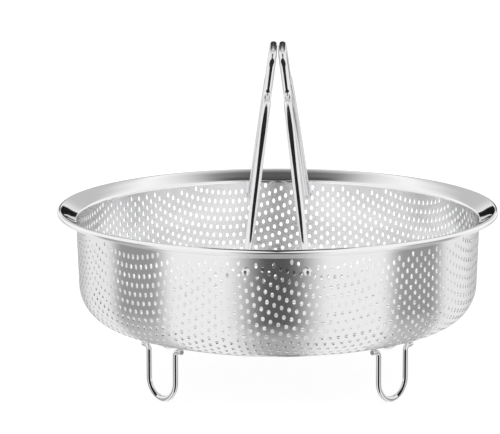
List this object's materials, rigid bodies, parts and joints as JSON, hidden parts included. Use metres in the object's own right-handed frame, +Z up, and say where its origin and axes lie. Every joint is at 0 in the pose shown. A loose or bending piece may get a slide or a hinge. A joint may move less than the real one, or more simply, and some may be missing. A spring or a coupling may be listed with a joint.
{
  "type": "steamer insert",
  "caption": "Perforated stainless steamer basket with a plain flared rim, wire feet, and two wire bails that lean together for lifting and fold out onto the rim.",
  "frame": {"origin": "at floor level, under the centre of the bowl", "axes": "+Z up, the bails hinge about lines along Y, and +X is towards the right bail"},
  "size_m": [0.22, 0.22, 0.1671],
  "materials": {
    "sheet_steel": "polished stainless sheet",
    "wire_steel": "bright polished stainless wire"
  },
  "bodies": {
    "basket": {"bowl": "sheet_steel", "foot_front_left": "wire_steel", "foot_front_right": "wire_steel", "foot_back_left": "wire_steel", "foot_back_right": "wire_steel"},
    "left_bail": {"bail_left": "wire_steel"},
    "right_bail": {"bail_right": "wire_steel"}
  },
  "joints": [
    {"name": "bail_left_fold", "type": "hinge", "parent": "basket", "child": "left_bail", "pos_m": [-0.0147, 0, 0.07364], "axis": [0, -1, 0], "range_deg": [0, 88.5]},
    {"name": "bail_right_fold", "type": "hinge", "parent": "basket", "child": "right_bail", "pos_m": [0.0147, 0, 0.07364], "axis": [0, 1, 0], "range_deg": [0, 88.5]}
  ]
}
